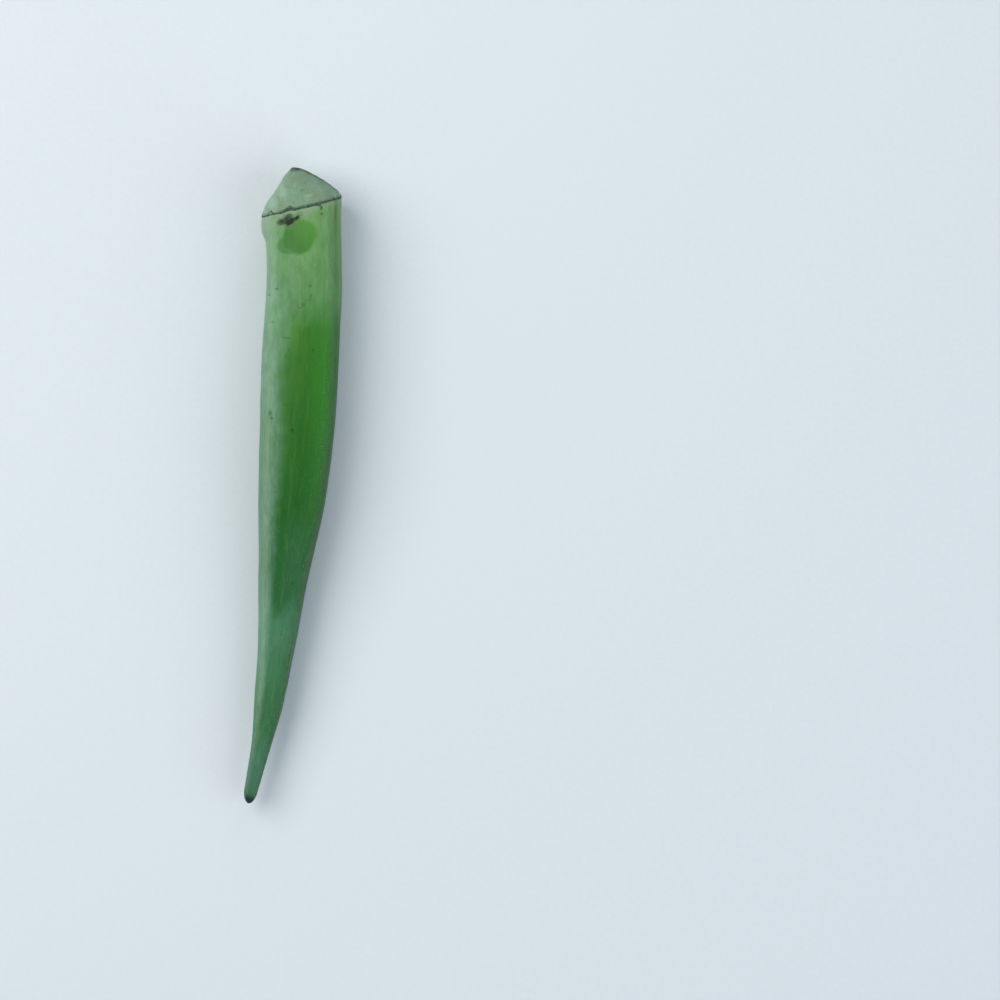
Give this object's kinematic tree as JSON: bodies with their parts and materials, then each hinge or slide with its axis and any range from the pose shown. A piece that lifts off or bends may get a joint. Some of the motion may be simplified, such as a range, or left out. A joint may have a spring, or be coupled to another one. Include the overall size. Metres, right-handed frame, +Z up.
{
  "type": "okra pod",
  "caption": "Long tapering ridged green seed pod with a bent tip and a short flared stem cap cut off at a slant, lying on its side.",
  "frame": {"origin": "on the surface that the pod lies on, under the middle of its box", "axes": "+Y along the pod towards the cut stem end, +Z up, +X to the right as seen from above with the stem end away from the viewer, so the tip bends towards -X"},
  "size_m": [0.0234, 0.1514, 0.0184],
  "materials": {
    "pod_skin": "satin",
    "cap_skin": "matte"
  },
  "bodies": {
    "root": {"pod": "pod_skin", "stem_cap": "cap_skin"}
  },
  "joints": []
}
